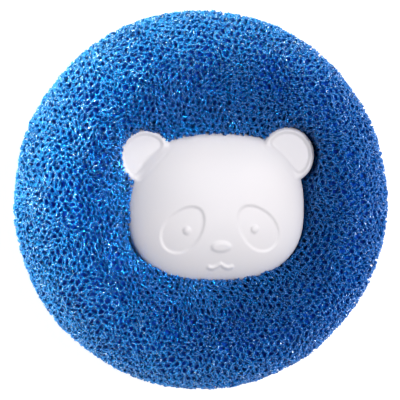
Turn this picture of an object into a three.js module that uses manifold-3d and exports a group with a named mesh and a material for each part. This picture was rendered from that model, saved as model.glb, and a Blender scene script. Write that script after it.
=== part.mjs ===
// Pet hair laundry ball: a puffy ring of open-cell foam pinched between two hollow animal-head floats.
// Millimetres, +Z up. The ball lies on its back with the face up and the ears towards +Y,
// and the origin is on the surface that it lies on, under the middle of the ring.

import * as THREE from 'three';
import { mergeVertices } from 'three/addons/utils/BufferGeometryUtils.js';
import Module from 'manifold-3d';

// Foam ring
const ringDiameter = 95;
const ringThickness = 40;
const crestDiameter = 66;
const crestFlatWidth = 2;
const flankRoundness = 2;
const dishRoundness = 1.7;
const webThickness = 12;
const lipRise = 1.5;

// Head outline, seen from the front
const headWidth = 45.4;
const headHeight = 37;
const headDrop = 1.8;
const headRoundness = 2.55;
const earDiameter = 14;
const earSpacing = 36.6;
const earCentreY = 10.8;
const earHeading = 44;

// Head mouldings
const wall = 1.6;
const rimHeight = 6.7;
const faceDomeHeight = 4.9;
const rearDomeHeight = 8;
const domeRoundness = 2.2;
const earTopRise = 2.2;
const earEdgeRound = 1;
const earPadDepth = 0.4;
const earRimWidth = 1.4;
const earPadReach = 1.4;

// Relief of the face
const eyeX = 9.5;
const eyeY = -7.1;
const eyeLength = 12.8;
const eyeWidth = 9;
const eyeTilt = 49;
const eyeEggShape = 0.12;
const eyeDepth = 0.25;
const pupilX = 8.7;
const pupilY = -7.5;
const pupilDiameter = 2;
const noseY = -11.7;
const noseWidth = 4.9;
const noseHeight = 2.4;
const mouthY = -15.9;
const mouthWidth = 5.8;
const mouthDip = 1;
const mouthCurl = 0.7;
const mouthStroke = 0.8;
const reliefHeight = 0.3;

// Plates, sockets and spindle
const plateThickness = 1.6;
const plateRebate = 0.8;
const spindleDiameter = 12;
const spindleBore = 8;
const snapBeadHeight = 0.15;
const snapBeadWidth = 1.2;
const snapBeadSetback = 1.5;

// Clearances
const seatGap = 0.3;
const pocketClearance = 0.5;
const plateGap = 0.3;
const socketClearance = 0.3;
const boreClearance = 0.4;
const tipGap = 0.5;
const cupEndGap = 1.5;

// Fineness of the facets
const ringSteps = 80;
const flankSteps = 6;
const dishSteps = 4;
const headSteps = 64;
const domeSteps = 8;
const cavitySteps = 36;
const cavityDomeSteps = 5;
const earSteps = 32;
const earRoundSteps = 2;
const reliefSteps = 24;
const tubeSteps = 32;
const searchSteps = 40;
const mergeDistance = 1e-5;

// Levels worked out from the sizes
const midLevel = ringThickness / 2;
const webHalf = webThickness / 2;
const headSeat = webHalf + seatGap;
const lipHeight = headSeat + rimHeight + lipRise;
const rearDepth = midLevel - headSeat;
const faceInside = rimHeight + faceDomeHeight - wall;
const rearInside = rearDepth - wall;
const faceSocketDepth = faceInside - cupEndGap - wall;
const rearSocketDepth = rearInside - cupEndGap - wall;
const earTop = rimHeight + earTopRise;
const cutMargin = 2;

const { Manifold, Mesh: SolidMesh } = await loadSolids();

async function loadSolids() {
  const wasm = await Module();
  wasm.setup();
  return wasm;
}

// A closed geometry as a solid that can be joined and cut
function toSolid(geometry) {
  geometry.deleteAttribute('normal');
  geometry.deleteAttribute('uv');
  const merged = mergeVertices(geometry, mergeDistance);
  const corners = merged.index.array;
  const kept = [];
  for (let i = 0; i < corners.length; i += 3) {
    const [a, b, c] = corners.slice(i, i + 3);
    if (a !== b && b !== c && c !== a) kept.push(a, b, c);
  }
  return new Manifold(new SolidMesh({
    numProp: 3,
    vertProperties: new Float32Array(merged.attributes.position.array),
    triVerts: new Uint32Array(kept),
  }));
}

function toGeometry(solid) {
  const { vertProperties, triVerts } = solid.getMesh();
  const geometry = new THREE.BufferGeometry();
  geometry.setAttribute('position', new THREE.BufferAttribute(vertProperties, 3));
  geometry.setIndex(new THREE.BufferAttribute(triVerts, 1));
  geometry.computeVertexNormals();
  return geometry;
}

// Quarter of a superellipse: 1 at the middle, 0 at the edge
function bulge(share, roundness) {
  return (1 - share ** roundness) ** (1 / roundness);
}

// Distance from the head's centre to its outline, grown by an offset
function headRadius(angle, offset) {
  const across = Math.abs(Math.cos(angle)) / (headWidth / 2 + offset);
  const along = Math.abs(Math.sin(angle)) / (headHeight / 2 + offset);
  return (across ** headRoundness + along ** headRoundness) ** (-1 / headRoundness);
}

function headOutline(offset) {
  const points = [];
  for (let i = 0; i < headSteps; i += 1) {
    const angle = (2 * Math.PI * i) / headSteps;
    const radius = headRadius(angle, offset);
    points.push(new THREE.Vector2(radius * Math.cos(angle), radius * Math.sin(angle) - headDrop));
  }
  return points;
}

// A straight-sided solid between two levels
function prism(points, low, high) {
  const geometry = new THREE.ExtrudeGeometry(new THREE.Shape(points), {
    depth: high - low,
    bevelEnabled: false,
  });
  geometry.translate(0, 0, low);
  return toSolid(geometry);
}

// A turned solid about Z from a closed profile, or one that starts and ends on the axis
function turned(profile, steps) {
  const geometry = new THREE.LatheGeometry(profile, steps);
  geometry.rotateX(Math.PI / 2);
  return geometry;
}

function cylinder(diameter, low, high, steps) {
  const radius = diameter / 2;
  const profile = [[0, low], [radius, low], [radius, high], [0, high]];
  return toSolid(turned(profile.map(([x, y]) => new THREE.Vector2(x, y)), steps));
}

// The head without its ears: straight rim and crowned dome, shrunk or grown all over by an offset
function dome(domeHeight, offset, bottom, steps = headSteps, rings = domeSteps) {
  const crown = domeHeight + offset;
  const profile = [new THREE.Vector2(0, bottom), new THREE.Vector2(1, bottom)];
  for (let i = 0; i <= rings; i += 1) {
    const share = Math.cos((Math.PI / 2) * (i / rings));
    profile.push(new THREE.Vector2(share, rimHeight + crown * bulge(share, domeRoundness)));
  }
  profile[profile.length - 1].x = 0;
  const geometry = turned(profile, steps);
  const place = geometry.attributes.position;
  for (let i = 0; i < place.count; i += 1) {
    const x = place.getX(i);
    const y = place.getY(i);
    const reach = headRadius(Math.atan2(y, x), offset);
    place.setXY(i, x * reach, y * reach - headDrop);
  }
  return toSolid(geometry);
}

// Both ears as plain discs
function earDiscs(diameter, low, high) {
  const ear = cylinder(diameter, low, high, earSteps);
  const right = ear.translate(earSpacing / 2, earCentreY, 0);
  const left = ear.translate(-earSpacing / 2, earCentreY, 0);
  return right.add(left);
}

// Both ears with a rounded top edge
function roundedEars() {
  const radius = earDiameter / 2;
  const profile = [new THREE.Vector2(0, 0), new THREE.Vector2(radius, 0)];
  for (let i = 0; i <= earRoundSteps; i += 1) {
    const angle = (Math.PI / 2) * (i / earRoundSteps);
    const x = radius - earEdgeRound * (1 - Math.cos(angle));
    profile.push(new THREE.Vector2(x, earTop - earEdgeRound * (1 - Math.sin(angle))));
  }
  profile.push(new THREE.Vector2(0, earTop));
  const ear = toSolid(turned(profile, earSteps));
  const right = ear.translate(earSpacing / 2, earCentreY, 0);
  const left = ear.translate(-earSpacing / 2, earCentreY, 0);
  return right.add(left);
}

// Sunk pads of the ears: round inside the rim, with one straight side towards the face
function earPads() {
  const radius = earDiameter / 2 - earRimWidth;
  const heading = THREE.MathUtils.degToRad(earHeading);
  const halfTurn = Math.acos(-earPadReach / radius);
  const right = [];
  for (let i = 0; i <= earSteps; i += 1) {
    const angle = heading - halfTurn + (2 * halfTurn * i) / earSteps;
    const x = earSpacing / 2 + radius * Math.cos(angle);
    right.push(new THREE.Vector2(x, earCentreY + radius * Math.sin(angle)));
  }
  const left = right.map((point) => new THREE.Vector2(-point.x, point.y)).reverse();
  const low = earTop - earPadDepth;
  return prism(right, low, earTop + cutMargin).add(prism(left, low, earTop + cutMargin));
}

// An ellipse, or an egg that narrows along its length, tilted and moved to its place on the face
function ellipse(length, breadth, x, y, tilt = 0, egg = 0) {
  const points = [];
  for (let i = 0; i < reliefSteps; i += 1) {
    const angle = (2 * Math.PI * i) / reliefSteps;
    const along = (length / 2) * Math.cos(angle);
    const across = (breadth / 2) * Math.sin(angle) * (1 - egg * Math.cos(angle));
    points.push(new THREE.Vector2(along, across));
  }
  const turn = THREE.MathUtils.degToRad(tilt);
  const centre = new THREE.Vector2();
  const place = new THREE.Vector2(x, y);
  return points.map((point) => point.rotateAround(centre, turn).add(place));
}

// Mouth like a soft letter w: two dips side by side, whose outer ends curl up a little
function mouthOutline() {
  const half = mouthWidth / 2;
  const upper = [];
  const lower = [];
  for (let i = 0; i <= reliefSteps; i += 1) {
    const x = -half + (mouthWidth * i) / reliefSteps;
    const y = mouthY - mouthDip * Math.sin((Math.PI * mouthCurl * Math.abs(x)) / half);
    upper.push(new THREE.Vector2(x, y + mouthStroke / 2));
    lower.push(new THREE.Vector2(x, y - mouthStroke / 2));
  }
  return [...lower, ...upper.reverse()];
}

// Raised nose, mouth and pupils, and sunk eye patches
function addFace(shell) {
  const top = rimHeight + faceDomeHeight + cutMargin;
  const mould = (outline) => prism(outline, rimHeight, top);
  const eyes = mould(ellipse(eyeLength, eyeWidth, -eyeX, eyeY, eyeTilt, eyeEggShape))
    .add(mould(ellipse(eyeLength, eyeWidth, eyeX, eyeY, 180 - eyeTilt, eyeEggShape)));
  const pupils = mould(ellipse(pupilDiameter, pupilDiameter, -pupilX, pupilY))
    .add(mould(ellipse(pupilDiameter, pupilDiameter, pupilX, pupilY)));
  const muzzle = mould(ellipse(noseWidth, noseHeight, 0, noseY)).add(mould(mouthOutline()));
  const floor = dome(faceDomeHeight, -eyeDepth, 0);
  const raised = dome(faceDomeHeight, reliefHeight, 0);
  const inside = dome(faceDomeHeight, -wall, 0, cavitySteps, cavityDomeSteps);
  const pupilTop = dome(faceDomeHeight, reliefHeight - eyeDepth, 0);
  return shell
    .subtract(eyes.subtract(floor))
    .add(muzzle.intersect(raised).subtract(inside))
    .add(pupils.intersect(pupilTop).subtract(inside));
}

// Outline of the head and ears, at an offset, as a solid between two levels
function headPrism(offset, low, high) {
  return prism(headOutline(offset), low, high).add(earDiscs(earDiameter + 2 * offset, low, high));
}

// Hollow outer moulding, in a frame whose zero level is the back of its plate
function headShell(domeHeight, crownLimit) {
  const keep = headPrism(cutMargin, 0, crownLimit);
  const outside = dome(domeHeight, 0, 0).add(roundedEars()).intersect(keep);
  const earInside = earTop - earPadDepth - wall;
  const inside = dome(domeHeight, -wall, -cutMargin, cavitySteps, cavityDomeSteps)
    .intersect(headPrism(0, -cutMargin, crownLimit - wall))
    .add(earDiscs(earDiameter - 2 * wall, -cutMargin, earInside));
  const rebate = headPrism(plateRebate - wall, -cutMargin, plateThickness + plateGap);
  return outside.subtract(inside).subtract(rebate).subtract(earPads());
}

// Back cover of a head with its blind socket for the spindle
function headPlate(socketDepth) {
  const socketDiameter = spindleDiameter + 2 * socketClearance;
  const cupDiameter = socketDiameter + 2 * wall;
  return headPrism(plateRebate - wall - plateGap, 0, plateThickness)
    .add(cylinder(cupDiameter, 0, socketDepth + wall, tubeSteps))
    .subtract(cylinder(socketDiameter, -cutMargin, socketDepth, tubeSteps));
}

// Tube with a shallow snap bead near each end
function spindle() {
  const low = midLevel - headSeat - rearSocketDepth + tipGap;
  const high = midLevel + headSeat + faceSocketDepth - tipGap;
  const inner = spindleBore / 2;
  const outer = spindleDiameter / 2;
  const bead = outer + snapBeadHeight;
  const near = snapBeadSetback;
  const middle = snapBeadSetback + snapBeadWidth / 2;
  const far = snapBeadSetback + snapBeadWidth;
  const profile = [
    [inner, low], [outer, low],
    [outer, low + near], [bead, low + middle], [outer, low + far],
    [outer, high - far], [bead, high - middle], [outer, high - near],
    [outer, high], [inner, high], [inner, low],
  ];
  return toSolid(turned(profile.map(([x, y]) => new THREE.Vector2(x, y)), tubeSteps));
}

// Reach of the head's pocket from the ring's axis
function pocketRadius(angle) {
  const x = Math.cos(angle);
  const y = Math.sin(angle);
  let near = 0;
  let far = ringDiameter;
  for (let i = 0; i < searchSteps; i += 1) {
    const reach = (near + far) / 2;
    const fromHead = Math.hypot(reach * x, reach * y + headDrop);
    const outline = headRadius(Math.atan2(reach * y + headDrop, reach * x), pocketClearance);
    if (fromHead < outline) near = reach;
    else far = reach;
  }
  return near;
}

// One half of the foam's section, from the bore out to the widest point, at heights over the mid level.
// Each point's radius is a share of the pocket's outline plus a fixed part.
function foamSection() {
  const half = ringThickness / 2;
  const crestInner = (crestDiameter - crestFlatWidth) / 2;
  const crestOuter = (crestDiameter + crestFlatWidth) / 2;
  const flank = ringDiameter / 2 - crestOuter;
  const section = [
    { share: 0, fixed: spindleDiameter / 2 + boreClearance, height: webHalf },
    { share: 1, fixed: 0, height: webHalf },
  ];
  for (let i = 0; i <= dishSteps; i += 1) {
    const out = i / dishSteps;
    const rise = 1 - (1 - out) ** dishRoundness;
    section.push({ share: 1 - out, fixed: out * crestInner, height: lipHeight + (half - lipHeight) * rise });
  }
  for (let i = 0; i <= flankSteps; i += 1) {
    const height = Math.cos((Math.PI / 2) * (i / flankSteps));
    const fixed = crestOuter + flank * bulge(height, flankRoundness);
    section.push({ share: 0, fixed, height: half * height });
  }
  return section;
}

function foamRing() {
  const upper = foamSection();
  const lower = upper.map((point) => ({ ...point, height: -point.height }));
  const section = [...lower, ...upper.slice(0, -1).reverse(), lower[0]];
  const profile = section.map((point) => new THREE.Vector2(1, midLevel + point.height));
  const geometry = turned(profile, ringSteps);
  const place = geometry.attributes.position;
  for (let i = 0; i < place.count; i += 1) {
    const { share, fixed } = section[i % section.length];
    const angle = Math.atan2(place.getY(i), place.getX(i));
    const radius = share * pocketRadius(angle) + fixed;
    place.setXY(i, radius * Math.cos(angle), radius * Math.sin(angle));
  }
  const earPocket = earDiameter + 2 * pocketClearance;
  return toSolid(geometry)
    .subtract(earDiscs(earPocket, midLevel + webHalf, ringThickness + cutMargin))
    .subtract(earDiscs(earPocket, -cutMargin, midLevel - webHalf));
}

const whitePlastic = new THREE.MeshStandardMaterial({ color: 0xefedec, roughness: 0.45, metalness: 0 });
const blueFoam = new THREE.MeshStandardMaterial({ color: 0x1f5fb0, roughness: 0.85, metalness: 0 });

function named(name, solid, material) {
  const mesh = new THREE.Mesh(toGeometry(solid), material);
  mesh.name = name;
  return mesh;
}

const ball = new THREE.Group();
ball.add(named('foam_ring', foamRing(), blueFoam));
ball.add(named('spindle', spindle(), whitePlastic));

const frontHead = new THREE.Group();
frontHead.position.z = midLevel + headSeat;
const faceLimit = rimHeight + faceDomeHeight + cutMargin;
frontHead.add(named('face_shell', addFace(headShell(faceDomeHeight, faceLimit)), whitePlastic));
frontHead.add(named('face_plate', headPlate(faceSocketDepth), whitePlastic));
ball.add(frontHead);

const rearHead = new THREE.Group();
rearHead.position.z = midLevel - headSeat;
rearHead.rotation.y = Math.PI;
rearHead.add(named('rear_shell', headShell(rearDomeHeight, rearDepth), whitePlastic));
rearHead.add(named('rear_plate', headPlate(rearSocketDepth), whitePlastic));
ball.add(rearHead);

export default ball;
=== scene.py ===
import math

import bpy
import numpy as np
import openvdb
from mathutils import Euler, Matrix, Vector


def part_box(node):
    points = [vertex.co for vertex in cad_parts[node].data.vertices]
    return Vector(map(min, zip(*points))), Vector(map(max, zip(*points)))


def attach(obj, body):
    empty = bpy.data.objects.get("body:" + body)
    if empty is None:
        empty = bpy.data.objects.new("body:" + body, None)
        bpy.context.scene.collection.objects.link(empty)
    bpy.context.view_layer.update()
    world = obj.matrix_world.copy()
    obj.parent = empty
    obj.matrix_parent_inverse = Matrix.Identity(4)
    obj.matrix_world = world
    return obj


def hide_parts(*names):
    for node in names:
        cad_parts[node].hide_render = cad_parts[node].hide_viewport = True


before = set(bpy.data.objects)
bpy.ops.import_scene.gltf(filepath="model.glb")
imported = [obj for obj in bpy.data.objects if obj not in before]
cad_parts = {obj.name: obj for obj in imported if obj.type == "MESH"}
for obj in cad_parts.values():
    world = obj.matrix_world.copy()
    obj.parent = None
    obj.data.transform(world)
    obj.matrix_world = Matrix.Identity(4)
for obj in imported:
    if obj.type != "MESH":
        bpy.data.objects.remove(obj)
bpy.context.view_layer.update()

mm = 0.001
scene = bpy.context.scene
scene.view_settings.view_transform = "Standard"


def linear(hexColour):
    shares = [int(hexColour[i:i + 2], 16) / 255 for i in (1, 3, 5)]
    return [c / 12.92 if c <= 0.04045 else ((c + 0.055) / 1.055) ** 2.4 for c in shares] + [1]


def addNode(tree, kind, sockets=None, **settings):
    # a socket takes a constant, or the output that feeds it
    node = tree.nodes.new("ShaderNode" + kind)
    for name, value in settings.items():
        setattr(node, name, value)
    for socket, value in (sockets or {}).items():
        if isinstance(value, bpy.types.NodeSocket):
            tree.links.new(value, node.inputs[socket])
        else:
            node.inputs[socket].default_value = value
    return node


def newMaterial(name):
    material = bpy.data.materials.new(name)
    material.use_nodes = True
    material.node_tree.nodes.clear()
    return material, material.node_tree


def mixColours(tree, share, first, second):
    colours = {"Factor": share, "A": linear(first), "B": linear(second)}
    return addNode(tree, "Mix", colours, data_type="RGBA").outputs["Result"]


def makePiece(name, points, faces, material):
    # points in mm, faces all with the same number of corners
    mesh = bpy.data.meshes.new(name)
    mesh.vertices.add(len(points))
    mesh.vertices.foreach_set("co", (points * mm).astype(np.float32).ravel())
    mesh.loops.add(faces.size)
    mesh.loops.foreach_set("vertex_index", faces.astype(np.int32).ravel())
    mesh.polygons.add(len(faces))
    mesh.polygons.foreach_set("loop_start", np.arange(0, faces.size, faces.shape[1], dtype=np.int32))
    mesh.update(calc_edges=True)
    mesh.shade_smooth()
    mesh.materials.append(material)
    piece = bpy.data.objects.new(name, mesh)
    scene.collection.objects.link(piece)
    return piece


def outward(points, faces):
    # faces turned to point out, by the sign of the volume that they enclose
    a, b, c = (points[faces[:, i]] for i in (0, 1, 2))
    d = points[faces[:, -1]]
    volume = (np.cross(b - a, c - a) * a).sum() + (np.cross(c - a, d - a) * a).sum()
    return faces if volume > 0 else faces[:, ::-1]


# camera, a little to the left of the ring's axis

shot = {
    "aim": (-0.4, 0, 20),   # mm, about the middle of the ring
    "offAxis": 15.5,        # degrees
    "roll": 1,              # degrees
    "distance": 1000,       # mm
    "frameWidth": 100.3,    # mm across the picture at the aim
    "sensor": 36,
}


def placeCamera():
    turn = math.radians(shot["offAxis"])
    back = Vector((-math.sin(turn), 0, math.cos(turn)))
    right = Vector((math.cos(turn), 0, math.sin(turn)))
    level = Matrix((right, (0, 1, 0), back)).transposed()
    camera = bpy.data.objects.new("camera", bpy.data.cameras.new("camera"))
    camera.matrix_world = (level @ Matrix.Rotation(-math.radians(shot["roll"]), 3, "Z")).to_4x4()
    camera.location = (Vector(shot["aim"]) + back * shot["distance"]) * mm
    camera.data.sensor_width = shot["sensor"]
    camera.data.lens = shot["sensor"] * shot["distance"] / shot["frameWidth"]
    scene.collection.objects.link(camera)
    scene.camera = camera


placeCamera()
print("camera placed")


# materials

plastic = {
    "colour": "#f3eff0",
    "shade": "#ecebee",      # slightly cooler where the melt flowed last
    "roughness": 0.42,
    "roughSpread": 0.05,
    "flowWidth": 14,         # mm, broad drift of the colour
    "sparkGrain": 0.45,      # mm, drawn coarser than the 0.05 mm of a real spark-eroded mould
    "grainDepth": 0.02,      # mm
    "grainStrength": 0.06,
    "ior": 1.49,
}


def mouldedPolypropylene():
    # satin white with a soft broad highlight, which the mould's fine grain breaks up a little
    material, tree = newMaterial("moulded_polypropylene")
    place = addNode(tree, "TexCoord").outputs["Object"]
    flow = addNode(tree, "TexNoise", {
        "Vector": place,
        "Scale": 1 / (plastic["flowWidth"] * mm),
        "Detail": 2,
    })
    grain = addNode(tree, "TexNoise", {
        "Vector": place,
        "Scale": 1 / (plastic["sparkGrain"] * mm),
        "Detail": 3,
    })
    rough = addNode(tree, "MapRange", {
        "Value": grain.outputs["Fac"],
        "To Min": plastic["roughness"] - plastic["roughSpread"],
        "To Max": plastic["roughness"] + plastic["roughSpread"],
    })
    bump = addNode(tree, "Bump", {
        "Height": grain.outputs["Fac"],
        "Strength": plastic["grainStrength"],
        "Distance": plastic["grainDepth"] * mm,
    })
    shader = addNode(tree, "BsdfPrincipled", {
        "Base Color": mixColours(tree, flow.outputs["Fac"], plastic["shade"], plastic["colour"]),
        "Roughness": rough.outputs["Result"],
        "Normal": bump.outputs["Normal"],
        "IOR": plastic["ior"],
    })
    addNode(tree, "OutputMaterial", {"Surface": shader.outputs["BSDF"]})
    return material


strutLook = {
    "colour": "#0578cd",
    "shade": "#0264b9",
    "roughness": 0.18,
    "gloss": 0.5,        # specular level
    "ior": 1.5,
    "driftWidth": 9,     # mm, patches where the dye took a little deeper
}


def reticulatedFoam():
    # polyurethane with its cell walls burnt away: slick blue threads that glint over dark pores
    material, tree = newMaterial("reticulated_polyurethane_foam")
    place = addNode(tree, "TexCoord").outputs["Object"]
    drift = addNode(tree, "TexNoise", {
        "Vector": place,
        "Scale": 1 / (strutLook["driftWidth"] * mm),
        "Detail": 3,
    })
    shader = addNode(tree, "BsdfPrincipled", {
        "Base Color": mixColours(tree, drift.outputs["Fac"], strutLook["shade"], strutLook["colour"]),
        "Roughness": strutLook["roughness"],
        "Specular IOR Level": strutLook["gloss"],
        "IOR": strutLook["ior"],
    })
    addNode(tree, "OutputMaterial", {"Surface": shader.outputs["BSDF"]})
    return material


# painted shade: the core's colours are darker copies of the foam's blue, standing in for the shade deep
# in the pores
shadedCoreLook = {
    "pore": "#0038aa",
    "thread": "#045ad2",
    "poreSpacing": 1.5,   # mm
    "threadEdges": (0.05, 0.25),     # shares of the spacing, from the thread out to the clear pore
    "threadRise": 0.4,    # mm
    "roughness": 0.7,
    "gloss": 0.1,         # specular level, next to nothing from inside a pore
}


def shadedCoreMaterial():
    # the foam further in, with its shade painted in: a darker copy of the foam's blue where little light
    # comes back out, and navy pores painted between dim threads
    material, tree = newMaterial("deep_foam_painted_shade")
    place = addNode(tree, "TexCoord").outputs["Object"]
    cells = addNode(tree, "TexVoronoi", {"Vector": place, "Scale": 1 / (shadedCoreLook["poreSpacing"] * mm)},
                    feature="DISTANCE_TO_EDGE")
    near, far = shadedCoreLook["threadEdges"]
    threads = addNode(tree, "MapRange", {
        "Value": cells.outputs["Distance"],
        "From Min": near,
        "From Max": far,
        "To Min": 1,
        "To Max": 0,
    }).outputs["Result"]
    bump = addNode(tree, "Bump", {"Height": threads, "Distance": shadedCoreLook["threadRise"] * mm})
    shader = addNode(tree, "BsdfPrincipled", {
        # painted shade: navy in the pores, a dim blue on the threads
        "Base Color": mixColours(tree, threads, shadedCoreLook["pore"], shadedCoreLook["thread"]),
        "Roughness": shadedCoreLook["roughness"],
        "Specular IOR Level": shadedCoreLook["gloss"],
        "Normal": bump.outputs["Normal"],
    })
    addNode(tree, "OutputMaterial", {"Surface": shader.outputs["BSDF"]})
    return material


whitePlastic = mouldedPolypropylene()
blueFoam = reticulatedFoam()
shadedCoreFoam = shadedCoreMaterial()
print("materials made")


# the two heads, moulded as distance fields

head = {
    "width": 45.4,           # mm, and so on down
    "height": 37,
    "drop": 1.8,             # its middle under the ring's axis
    "roundness": 2.55,
    "rim": 6.7,              # straight part of the side wall
    "domeRoundness": 2.2,
    "wall": 1.6,
    "earDiameter": 14,
    "earSpacing": 36.6,
    "earY": 10.8,
    "earTop": 8.9,
    "earEdge": 1,
    "earRim": 1.4,
    "padDepth": 0.3,
    "padEdge": 0.6,
    "padCorner": 1.5,        # softness of the pad's two corners
    "padLine": 1.4,          # straight side of the pad, from the ear's middle towards the face
    "seamLine": 3.2,         # fine groove where ear and face meet, from the ear's middle
    "seamDepth": 0.22,
    "seamWidth": 0.5,
    "padAngle": 44,          # degrees, heading of the ear from the face
    "crease": 0.3,           # softness where dome and ear meet
    "plate": 1.6,
    "rebate": 0.8,
    "plateGap": 0.3,
    "coverEdge": 0.4,        # rounding of the covers' corners
    "socket": 12.6,          # bore of the cup for the spindle
    "voxel": 0.28,
}

face = {
    "dome": 4.9,
    "seat": 26.3,            # level of the plate's back
    "socketDepth": 6.9,
    "eyeX": 9.5,
    "eyeY": -7.1,
    "eyeLength": 12.8,
    "eyeWidth": 9,
    "eyeTilt": 49,           # degrees
    "eyeEgg": 0.12,
    "eyeDepth": 0.22,
    "eyeEdge": 0.65,
    "pupilX": 8.7,
    "pupilY": -7.5,
    "pupilDiameter": 2,
    "noseY": -11.7,
    "noseWidth": 4.9,
    "noseHeight": 2.4,
    "mouthY": -15.9,
    "mouthWidth": 5.8,
    "mouthDip": 1,
    "mouthCurl": 0.7,        # how far the outer ends curl up again
    "mouthStroke": 0.8,
    "relief": 0.28,
    "reliefEdge": 0.8,
}

rear = {
    "dome": 8,
    "seat": 13.7,
    "socketDepth": 9,
    "land": 13.7,            # flat the ball lies on
    "landEdge": 1.2,
}


def toDistance(values, step):
    # a field's values over its slope, close to a distance near its zero
    slopes = np.gradient(values, step)
    return values / np.maximum(np.sqrt(sum(s * s for s in slopes)), 1e-4)


def ramp(distance, width):
    # 1 inside, 0 outside, smooth across the width
    share = np.clip(0.5 - distance / width, 0, 1)
    return share * share * (3 - 2 * share)


def softMin(a, b, width):
    gap = np.maximum(width - np.abs(a - b), 0) / width
    return np.minimum(a, b) - gap * gap * width / 4


def softMax(a, b, width):
    return -softMin(-a, -b, width)


def headGrid(top):
    step = head["voxel"]
    margin = 1.2
    across = head["earSpacing"] / 2 + head["earDiameter"] / 2 + margin
    lows = (-across, -head["height"] / 2 - head["drop"] - margin, -margin)
    highs = (across, head["earY"] + head["earDiameter"] / 2 + margin, top + margin)
    axes = [np.arange(low, high, step) for low, high in zip(lows, highs)]
    x, y = np.meshgrid(axes[0], axes[1], indexing="ij")
    return x, y, axes[2], np.array(lows)


def headReach(x, y, offset):
    # 1 on the outline of the head, less inside
    across = np.abs(x) / (head["width"] / 2 + offset)
    along = np.abs(y + head["drop"]) / (head["height"] / 2 + offset)
    power = head["roundness"]
    return (across ** power + along ** power) ** (1 / power)


def outlineDistance(x, y, offset):
    # flat distance to the outline of head and ears together
    step = head["voxel"]
    distance = toDistance(headReach(x, y, 0) - 1, step)
    for side in (-1, 1):
        ear = np.hypot(x - side * head["earSpacing"] / 2, y - head["earY"]) - head["earDiameter"] / 2
        distance = np.minimum(distance, ear)
    return distance - offset


def domeDistance(x, y, z, crown):
    step = head["voxel"]
    reach = headReach(x, y, 0)[:, :, None]
    rise = np.maximum(z - head["rim"], 0)[None, None] / crown
    power = head["domeRoundness"]
    return toDistance((reach ** power + rise ** power) ** (1 / power) - 1, step)


def earPlace(x, y, side):
    # distance outside an ear's edge, and from its middle towards the face
    dx, dy = x - side * head["earSpacing"] / 2, y - head["earY"]
    turn = math.radians(head["padAngle"])
    return np.hypot(dx, dy) - head["earDiameter"] / 2, -(side * dx * math.cos(turn) + dy * math.sin(turn))


def earSeam(x, y):
    groove = np.zeros_like(x)
    for side in (-1, 1):
        beyond, inward = earPlace(x, y, side)
        line = softMax(np.abs(inward - head["seamLine"]), beyond, head["seamWidth"])
        groove += head["seamDepth"] * ramp(line, head["seamWidth"])
    return groove


def earDistance(x, y, z):
    total = None
    for side in (-1, 1):
        beyond, inward = earPlace(x, y, side)
        pad = softMax(beyond + head["earRim"], inward - head["padLine"], head["padCorner"])
        sink = head["padDepth"] * ramp(pad, head["padEdge"])
        edge = head["earEdge"]
        flat = (beyond + edge)[:, :, None]
        up = z[None, None] - (head["earTop"] - sink)[:, :, None] + edge
        corner = np.hypot(np.maximum(flat, 0), np.maximum(up, 0))
        ear = np.minimum(np.maximum(flat, up), 0) + corner - edge
        total = ear if total is None else np.minimum(total, ear)
    return total


def faceRelief(x, y):
    # height of nose, mouth, pupils and eye patches over the plain dome
    step = head["voxel"]
    height = np.zeros_like(x)
    for side in (-1, 1):
        tilt = math.radians(face["eyeTilt"]) if side < 0 else math.pi - math.radians(face["eyeTilt"])
        dx, dy = x - side * face["eyeX"], y - face["eyeY"]
        along = (dx * math.cos(tilt) + dy * math.sin(tilt)) / (face["eyeLength"] / 2)
        across = (dy * math.cos(tilt) - dx * math.sin(tilt)) / (face["eyeWidth"] / 2)
        egg = np.hypot(along, across / (1 - face["eyeEgg"] * np.clip(along, -1, 1)))
        height -= face["eyeDepth"] * ramp(toDistance(egg - 1, step), face["eyeEdge"])
        pupil = np.hypot(x - side * face["pupilX"], y - face["pupilY"]) / (face["pupilDiameter"] / 2)
        height += face["relief"] * np.sqrt(np.maximum(1 - pupil ** 2, 0))
    nose = np.hypot(x / (face["noseWidth"] / 2), (y - face["noseY"]) / (face["noseHeight"] / 2))
    height += face["relief"] * ramp(toDistance(nose - 1, step), face["reliefEdge"])
    half = face["mouthWidth"] / 2
    inMouth = np.clip(x, -half, half)
    bow = np.sin(math.pi * face["mouthCurl"] * np.abs(inMouth) / half)
    line = face["mouthY"] - face["mouthDip"] * bow
    stroke = np.hypot(y - line, x - inMouth) - face["mouthStroke"] / 2
    height += face["relief"] * ramp(stroke, face["reliefEdge"])
    return height


def mouldCover(name, spec):
    # flat cover over the back of a head, with the blind cup that takes the spindle
    x, y, z, low = headGrid(spec["socketDepth"] + head["wall"])
    edge = head["coverEdge"]
    flat = outlineDistance(x, y, head["rebate"] - head["wall"] - head["plateGap"])[:, :, None]
    plate = softMax(flat, np.abs(z - head["plate"] / 2)[None, None] - head["plate"] / 2, edge)
    across = np.hypot(x, y)[:, :, None] - head["socket"] / 2
    above = (z - spec["socketDepth"])[None, None]
    cup = softMax(across - head["wall"], above - head["wall"], edge)
    solid = softMin(plate, np.maximum(cup, -z[None, None]), edge)
    hollow = np.maximum(across, above)
    return meshField(name, softMax(solid, -hollow, edge / 2), low, spec)


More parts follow.
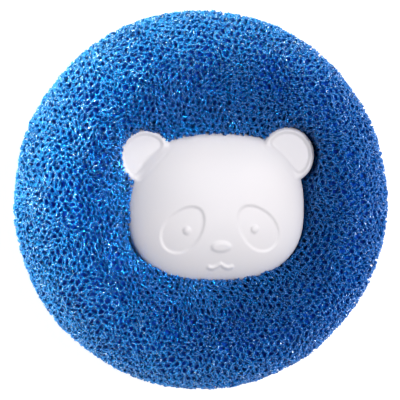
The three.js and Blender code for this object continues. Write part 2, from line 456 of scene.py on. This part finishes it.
def mouldShell(name, spec, relief, land):
    top = land if land else head["rim"] + spec["dome"] + face["relief"]
    x, y, z, low = headGrid(top)
    plain = domeDistance(x, y, z, spec["dome"])
    outside = plain - relief(x, y)[:, :, None] if relief else plain
    outside = softMin(outside, earDistance(x, y, z), head["crease"]) + earSeam(x, y)[:, :, None]
    inside = plain + head["wall"]
    earHollow = np.maximum(
        (outlineDistance(x, y, -head["wall"]))[:, :, None],
        (z - (head["earTop"] - head["padDepth"] - head["wall"]))[None, None])
    inside = np.minimum(inside, earHollow)
    if land:
        above = np.broadcast_to((z - land)[None, None], outside.shape)
        outside = softMax(outside, above, spec["landEdge"])
        inside = np.maximum(inside, (z - land + head["wall"])[None, None])
    rebate = np.maximum(
        outlineDistance(x, y, head["rebate"] - head["wall"])[:, :, None],
        (z - head["plate"] - head["plateGap"])[None, None])
    shell = np.maximum(outside, -np.minimum(inside, rebate))
    shell = np.maximum(shell, -z[None, None])
    return meshField(name, shell, low, spec)


def meshField(name, values, low, spec):
    step = head["voxel"]
    grid = openvdb.FloatGrid(3 * step)
    grid.copyFromArray(np.ascontiguousarray(values, np.float32))
    points, quads = grid.convertToQuads(isovalue=0.0)
    points = points * step + low
    quads = outward(points, quads)
    if spec is rear:
        points = points * [-1, 1, -1] + [0, 0, spec["seat"]]
    else:
        points = points + [0, 0, spec["seat"]]
    return makePiece(name, points, quads, whitePlastic)


faceMoulding = mouldShell("face_moulding", face, faceRelief, None)
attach(faceMoulding, "front_head")
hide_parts("face_shell")
rearMoulding = mouldShell("rear_moulding", rear, None, rear["land"])
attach(rearMoulding, "rear_head")
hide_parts("rear_shell")
print("heads moulded:", len(faceMoulding.data.polygons), "and", len(rearMoulding.data.polygons), "faces")

for spec, body, plate in ((face, "front_head", "face_plate"), (rear, "rear_head", "rear_plate")):
    cover = mouldCover(plate.replace("plate", "cover"), spec)
    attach(cover, body)
    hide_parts(plate)
print("covers moulded")


# spindle, a tube with a snap bead near each end

spindle = {
    "outside": 12,           # mm
    "bore": 8,
    "bead": 0.15,            # how far a bead stands out
    "beadWidth": 1.2,
    "beadInset": 1.5,        # from the tube's end to the bead
    "edge": 0.4,             # rounding of the ends
    "arcSteps": 12,
    "sides": 96,
}


def turnSpindle():
    low, high = (corner[2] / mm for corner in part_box("spindle"))
    steps = np.linspace(0, 1, spindle["arcSteps"] + 1)
    edge, width = spindle["edge"], spindle["beadWidth"]
    inner, outer = spindle["bore"] / 2 + edge, spindle["outside"] / 2 - edge
    bottom, top = low + edge, high - edge
    quarter = [(edge * math.sin(t), edge * math.cos(t)) for t in steps * math.pi / 2]
    profile = [(outer + s, bottom - c) for s, c in quarter]
    for start in (low + spindle["beadInset"], high - spindle["beadInset"] - width):
        bulge = spindle["bead"] * np.sin(steps * math.pi) ** 2
        profile += list(zip(outer + edge + bulge, start + width * steps))
    profile += [(outer + c, top + s) for s, c in quarter]
    profile += [(inner - s, top + c) for s, c in quarter]
    profile += [(inner - c, bottom - s) for s, c in quarter]
    rings, sides = len(profile), spindle["sides"]
    turn = np.arange(sides) * 2 * math.pi / sides
    radius, level = np.array(profile).T
    points = np.stack([radius[:, None] * np.cos(turn), radius[:, None] * np.sin(turn),
                       np.broadcast_to(level[:, None], (rings, sides))], -1).reshape(-1, 3)
    ring, side = np.meshgrid(np.arange(rings), np.arange(sides), indexing="ij")
    nextRing, nextSide = (ring + 1) % rings, (side + 1) % sides
    faces = np.stack([ring * sides + side, ring * sides + nextSide,
                      nextRing * sides + nextSide, nextRing * sides + side], -1).reshape(-1, 4)
    return makePiece("spindle_tube", points, outward(points, faces), whitePlastic)


spindleTube = turnSpindle()
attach(spindleTube, "foam")
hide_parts("spindle")
print("spindle turned")


# foam ring: a dark core, its colour painted shade for the foam's depths, under a skin of open cells

foam = {
    "poreSpacing": 1.75,     # mm, about 15 pores to the inch
    "latticeShare": 1.15,    # size of the lattice, which holds two cells, to the spacing of the pores
    "spareCells": 3,         # lattice cells past the ring, cut away again
    "strutRadius": 0.22,     # mm
    "radiusSpread": 0.3,     # share
    "overrun": 0.4,          # how far a strut runs on into its joints, to its radius
    "openDepth": 2.0,        # mm of open cells over the core
    "coreDepth": 1.7,        # mm from the skin down to the core
    "latticeTurn": (0.61, 0.37, 0.83),   # radians, so that no row of cells lines up with the ring
    "pinch": 0.5,            # how flat the cells are pressed between the heads
    "pinchReach": (22, 36),  # mm from the axis, from there outwards the cells are round again
    "cellJitter": 0.45,      # share of the lattice size
    "strutJitter": 0.05,
    "warp": 0.4,             # mm
    "warpWidth": 14,
    "swell": 0.12,           # mm, soft unevenness of the whole ring
    "swellWidth": 16,
    "fuzz": 0.12,            # mm, torn ends that stand up from the skin
    "fuzzWidth": 3.2,
    "lip": 1.2,              # mm that the foam bulges over the edge of a head
    "lipWidth": 1.7,
    "lipHeight": 15,         # mm over the middle of the ring
    # where the foam stands off a head, or bulges over it more: heading and spread in degrees, then mm
    "loose": (
        (6, 34, 2.8),
        (154, 14, -1.1),
        (203, 14, 1.4),
    ),
    "looseDepth": 7,         # mm that such a gap goes down
    "middle": 20,            # mm, level of the ring's middle
    "shortest": 0.2,         # mm, cut ends shorter than this fall off
    "voxel": 0.6,
    "strutsPerPiece": 24000,
    "seed": 11,
}


def wave(points, width, seed, count=14):
    # smooth noise of unit size from a few plane waves
    dice = np.random.default_rng(seed)
    heading = dice.normal(size=(count, 3))
    heading *= 2 * math.pi / width / np.linalg.norm(heading, axis=1, keepdims=True)
    phase = dice.uniform(0, 2 * math.pi, count)
    return np.sin(points @ heading.T + phase).sum(1) * math.sqrt(2 / count)


def ringField():
    # signed distance to the ring's CAD solid, in mm, on a grid
    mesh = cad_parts["foam_ring"].data
    mesh.calc_loop_triangles()
    points = np.empty(len(mesh.vertices) * 3, np.float32)
    mesh.vertices.foreach_get("co", points)
    points = points.reshape(-1, 3) / mm
    corners = np.empty(len(mesh.loop_triangles) * 3, np.int32)
    mesh.loop_triangles.foreach_get("vertices", corners)
    step = foam["voxel"]
    reach = 12               # voxels either side of the surface
    grid = openvdb.FloatGrid.createLevelSetFromPolygons(
        points, triangles=corners.reshape(-1, 3),
        transform=openvdb.createLinearTransform(voxelSize=step), halfWidth=reach)
    low = np.floor(points.min(0) / step).astype(int) - reach
    size = np.ceil(points.max(0) / step).astype(int) + reach - low
    values = np.zeros(size, np.float32)
    grid.copyToArray(values, ijk=tuple(int(i) for i in low))
    return values, low * step, step


def readField(field, points):
    values, low, step = field
    place = (points - low) / step
    cell = np.clip(np.floor(place).astype(int), 0, np.array(values.shape) - 2)
    part = place - cell
    total = 0
    for corner in np.ndindex(2, 2, 2):
        weight = np.prod(np.where(corner, part, 1 - part), axis=1)
        total = total + weight * values[tuple((cell + corner).T)]
    return total


def foamSites(half):
    # corners of a jittered Kelvin foam: each is the mean of the four cell middles round it
    dice = np.random.default_rng(foam["seed"])
    index = np.stack(np.meshgrid(*[np.arange(-half, half + 1)] * 3, indexing="ij"), -1)
    jitter = foam["cellJitter"]
    middles = [index + offset + dice.uniform(-jitter, jitter, index.shape) for offset in (0, 0.5)]
    near = [(body, np.array(shift) - 1) for body in (0, 1) for shift in np.ndindex(3, 3, 3)]
    kinds = [kind for kind in np.ndindex(4, 4, 4) if sorted(kind) in ([0, 1, 2], [0, 2, 3])]
    sites = []
    for kind in kinds:
        spot = np.array(kind) / 4
        around = sorted(near, key=lambda n: np.linalg.norm(n[1] + n[0] / 2 - spot))[:4]
        sites.append(sum(np.roll(middles[body], tuple(-shift), (0, 1, 2)) for body, shift in around) / 4)
    sites = np.stack(sites, 3)
    sites += dice.uniform(-foam["strutJitter"], foam["strutJitter"], sites.shape)
    inner = np.abs(index).max(-1) < half - 1
    return sites, kinds, inner


def skinDepth(field, points):
    # distance to the dressed skin: swollen, frayed, pressed over the heads' edges and flat on the floor
    depth = readField(field, points)
    depth -= foam["swell"] * wave(points, foam["swellWidth"], 4)
    depth -= foam["fuzz"] * wave(points, foam["fuzzWidth"], 5)
    x, y = points[:, 0], points[:, 1]
    gap = np.hypot(x, y + head["drop"]) * (1 - 1 / headReach(x, y, 0))
    earGap = np.hypot(np.abs(x) - head["earSpacing"] / 2, y - head["earY"]) - head["earDiameter"] / 2
    gap = np.minimum(gap, earGap)
    rise = np.abs(points[:, 2] - foam["middle"]) - foam["lipHeight"]
    around = np.degrees(np.arctan2(y + head["drop"], x))
    press = foam["lip"]
    for heading, spread, amount in foam["loose"]:
        off = (around - heading + 180) % 360 - 180
        press = press - amount * np.exp(-(off / spread) ** 2)
    reach = np.where((rise < 0) & (press < 0), foam["looseDepth"], foam["lipWidth"])
    depth -= press * np.exp(-(gap / foam["lipWidth"]) ** 2 - (rise / reach) ** 2)
    return np.maximum(depth, foam["strutRadius"] - points[:, 2])


def foamStruts(field):
    # both ends of every strut in the open skin, cut off at the ring's surface
    lattice = foam["latticeShare"] * foam["poreSpacing"]
    centre = np.array((0, 0, foam["middle"]), float)
    reach = np.linalg.norm(np.array(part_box("foam_ring")[1]) / mm - centre)
    sites, kinds, inner = foamSites(math.ceil(reach / lattice) + foam["spareCells"])
    turn = np.array(Euler(foam["latticeTurn"]).to_matrix())
    points = sites.reshape(-1, 3) * lattice @ turn.T
    pinch = np.interp(np.hypot(points[:, 0], points[:, 1]), foam["pinchReach"], (foam["pinch"], 1))
    points[:, 2] *= pinch
    points += centre
    ringSize = np.array(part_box("foam_ring")[1]) / mm - centre + lattice
    inside = np.repeat(inner.ravel(), len(kinds)) & (np.abs(points - centre) < ringSize).all(1)
    kept = points[inside]
    drift = np.stack([wave(kept, foam["warpWidth"], seed) for seed in (1, 2, 3)], 1)
    kept = kept + foam["warp"] * drift
    farOff = 99.0
    depth = np.full(len(points), farOff)
    depth[inside] = skinDepth(field, kept)
    points[inside] = kept

    number = np.arange(len(points)).reshape(sites.shape[:4])
    diagonals = [s for s in np.ndindex(3, 3, 3) if sum(i != 1 for i in s) == 2]
    steps = [np.array(s) - 1 for s in diagonals if s > (1, 1, 1)]
    pairs = []
    for kind in kinds:
        for step in steps:
            other = np.array(kind) + step
            match = tuple(int(i) for i in other % 4)
            if match not in kinds:
                continue
            first = number[..., kinds.index(kind)].ravel()
            second = np.roll(number[..., kinds.index(match)], tuple(-(other // 4)), (0, 1, 2)).ravel()
            shallow = np.maximum(depth[first], depth[second])
            deep = np.minimum(depth[first], depth[second])
            chosen = (deep < 0) & (shallow > -foam["openDepth"]) & (shallow < farOff)
            pairs.append(np.stack([first[chosen], second[chosen]], 1))
    pairs = np.concatenate(pairs)
    flip = depth[pairs[:, 0]] > depth[pairs[:, 1]]
    pairs[flip] = pairs[flip][:, ::-1]
    start, end = points[pairs[:, 0]], points[pairs[:, 1]]
    startDepth, endDepth = depth[pairs[:, 0]], depth[pairs[:, 1]]
    share = np.where(endDepth > 0, startDepth / np.minimum(startDepth - endDepth, -1e-6), 1)
    end = start + (end - start) * share[:, None]
    long = np.linalg.norm(end - start, axis=1) > foam["shortest"]
    return start[long], end[long]


def buildStruts(start, end):
    # each strut is a three-sided bar, as the edges of burst cells are
    dice = np.random.default_rng(foam["seed"] + 1)
    count = len(start)
    axis = end - start
    axis /= np.linalg.norm(axis, axis=1, keepdims=True)
    helper = np.where(np.abs(axis[:, 2:]) < 0.8, [[0, 0, 1.0]], [[1.0, 0, 0]])
    side = np.cross(axis, helper)
    side /= np.linalg.norm(side, axis=1, keepdims=True)
    across = np.cross(axis, side)
    radius = foam["strutRadius"] * (1 + foam["radiusSpread"] * dice.uniform(-1, 1, count))
    roll = dice.uniform(0, 2 * math.pi, count)
    rims = []
    for centre, lengthen in ((start, -foam["overrun"]), (end, foam["overrun"])):
        for corner in range(3):
            angle = roll + corner * 2 * math.pi / 3
            out = np.cos(angle)[:, None] * side + np.sin(angle)[:, None] * across
            rims.append(centre + radius[:, None] * (out + lengthen * axis))
    ends = [(0, 2, 1), (3, 4, 5)]
    sides = [(0, 1, 4), (0, 4, 3), (1, 2, 5), (1, 5, 4), (2, 0, 3), (2, 3, 5)]
    return np.stack(rims, 1), np.array(ends + sides)


def bakeMap(piece, count, bar):
    # one small square of the map for each strut
    rows = math.ceil(math.sqrt(count))
    cell = np.arange(count)
    corner = np.stack([cell % rows, cell // rows], 1) / rows
    spread = {0: (0.1, 0.1), 1: (0.5, 0.1), 2: (0.9, 0.1), 3: (0.1, 0.9), 4: (0.5, 0.9), 5: (0.9, 0.9)}
    local = np.array([spread[i] for i in bar.ravel()]) / rows
    mesh = piece.data
    layer = mesh.uv_layers.new(name="OFBake")
    layer.data.foreach_set("uv", (corner[:, None] + local[None]).astype(np.float32).ravel())


def makeFoam():
    field = ringField()
    values, low, step = field
    coreGrid = openvdb.FloatGrid(4.0)    # what it reads beyond the ring
    coreGrid.copyFromArray(values + foam["coreDepth"])
    points, quads = coreGrid.convertToQuads(isovalue=0.0)
    points = points * step + low
    # painted shade: a dark solid under the open cells stands in for the shade deep inside the ring
    core = makePiece("foam_shade_core", points, outward(points, quads), shadedCoreFoam)
    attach(core, "foam")
    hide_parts("foam_ring")
    print("foam core:", len(quads), "faces")

    start, end = foamStruts(field)
    around = np.arctan2(start[:, 1], start[:, 0])
    order = np.argsort(around, kind="stable")
    corners, bar = buildStruts(start[order], end[order])
    groups = math.ceil(len(order) / foam["strutsPerPiece"])
    cells = []
    for number, block in enumerate(np.array_split(corners, groups), 1):
        faces = (np.arange(len(block))[:, None, None] * 6 + bar[None]).reshape(-1, 3)
        piece = makePiece(f"foam_cells_{number:02d}", block.reshape(-1, 3), faces, blueFoam)
        bakeMap(piece, len(block), bar)
        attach(piece, "foam")
        cells.append(piece)
    print("foam cells:", len(order), "struts in", groups, "pieces")
    return core, cells


foamShadeCore, foamCells = makeFoam()


# white studio: a floor that shows white to the camera and keeps a faint shadow

studio = {
    "floorSize": 6,          # m
    "floorColour": "#c8c8c8",
    "floorRoughness": 0.9,
    "floorLift": 0.93,       # light that shows to the camera and falls on nothing
    "skyColour": "#eef2f6",
    "sky": 0.2,
    "poolShift": (-30, -10, 0),      # mm, a lamp with a narrow grid, over the ring's left side
    "poolSpread": 9,         # degrees
}


def seenDirectly(tree):
    # 1 where the camera sees it, straight or by way of a reflection
    path = addNode(tree, "LightPath")
    seen = path.outputs["Is Camera Ray"]
    for kind in ("Is Glossy Ray", "Is Transmission Ray"):
        seen = addNode(tree, "Math", {0: seen, 1: path.outputs[kind]}, operation="MAXIMUM").outputs[0]
    return seen


def studioFloor():
    # matt paper that shows white and still takes the shadow
    material, tree = newMaterial("white_paper_sweep")
    lift = addNode(tree, "Math", {0: seenDirectly(tree), 1: studio["floorLift"]}, operation="MULTIPLY")
    shader = addNode(tree, "BsdfPrincipled", {
        "Base Color": linear(studio["floorColour"]),
        "Roughness": studio["floorRoughness"],
        "Emission Color": (1, 1, 1, 1),
        "Emission Strength": lift.outputs[0],
    })
    addNode(tree, "OutputMaterial", {"Surface": shader.outputs["BSDF"]})
    half = studio["floorSize"] / 2 / mm
    corners = np.array([(-half, -half, 0), (half, -half, 0), (half, half, 0), (-half, half, 0)], float)
    makePiece("floor", corners, np.array([[0, 1, 2, 3]]), material)


def studioSky():
    world = bpy.data.worlds.new("studio")
    world.use_nodes = True
    tree = world.node_tree
    tree.nodes.clear()
    dim = addNode(tree, "Background", {"Color": linear(studio["skyColour"]), "Strength": studio["sky"]})
    white = addNode(tree, "Background", {"Color": (1, 1, 1, 1), "Strength": 1})
    both = addNode(tree, "MixShader", {0: seenDirectly(tree), 1: dim.outputs[0], 2: white.outputs[0]})
    addNode(tree, "OutputWorld", {"Surface": both.outputs[0]})
    scene.world = world


def softbox(name, heading, distance, wide, tall, watts, colour, onto=None):
    lamp = bpy.data.lights.new(name, "AREA")
    lamp.shape = "RECTANGLE"
    lamp.size = wide
    lamp.size_y = tall
    lamp.energy = watts
    lamp.color = linear(colour)[:3]
    box = bpy.data.objects.new(name, lamp)
    away = Vector(heading).normalized()
    box.location = Vector(shot["aim"]) * mm + away * distance
    box.rotation_euler = away.to_track_quat("Z", "Y").to_euler()
    scene.collection.objects.link(box)
    if onto:
        box.light_linking.receiver_collection = onto
    return box


studioFloor()
studioSky()
# light that grazes the ring dies in its pores, so four lamps reach the open cells alone,
# and the one that models the face leaves the foam out
cellsOnly = bpy.data.collections.new("cells_only")
foamOff = bpy.data.collections.new("foam_off")
for piece in foamCells:
    cellsOnly.objects.link(piece)
for piece in [foamShadeCore] + foamCells:
    foamOff.objects.link(piece)
for row in foamOff.collection_objects:
    row.light_linking.link_state = "EXCLUDE"
# heading, then metres away, wide and tall, then watts
softbox("key", (-0.64, 0.77, 0), 0.6, 0.6, 0.03, 16.2, "#f4f6cc", cellsOnly)
softbox("kick", (-0.93, -0.36, 0), 0.6, 0.4, 0.03, 7.2, "#f6f4da", cellsOnly)
softbox("side", (0.98, -0.14, 0.06), 0.7, 0.3, 0.06, 5.2, "#ffffff", cellsOnly)
pool = softbox("pool", (0.35, 0.5, 0.79), 0.5, 0.03, 0.03, 0.0165, "#fff8e2", cellsOnly)
pool.location += Vector(studio["poolShift"]) * mm
pool.data.spread = math.radians(studio["poolSpread"])
softbox("wall", (0.62, 0.71, 0.34), 0.9, 0.3, 0.3, 2.8, "#ffffff", foamOff)
softbox("fill", (0.3, 0.1, 0.95), 0.9, 0.4, 0.4, 5.2, "#fffcff")
print("studio lit")
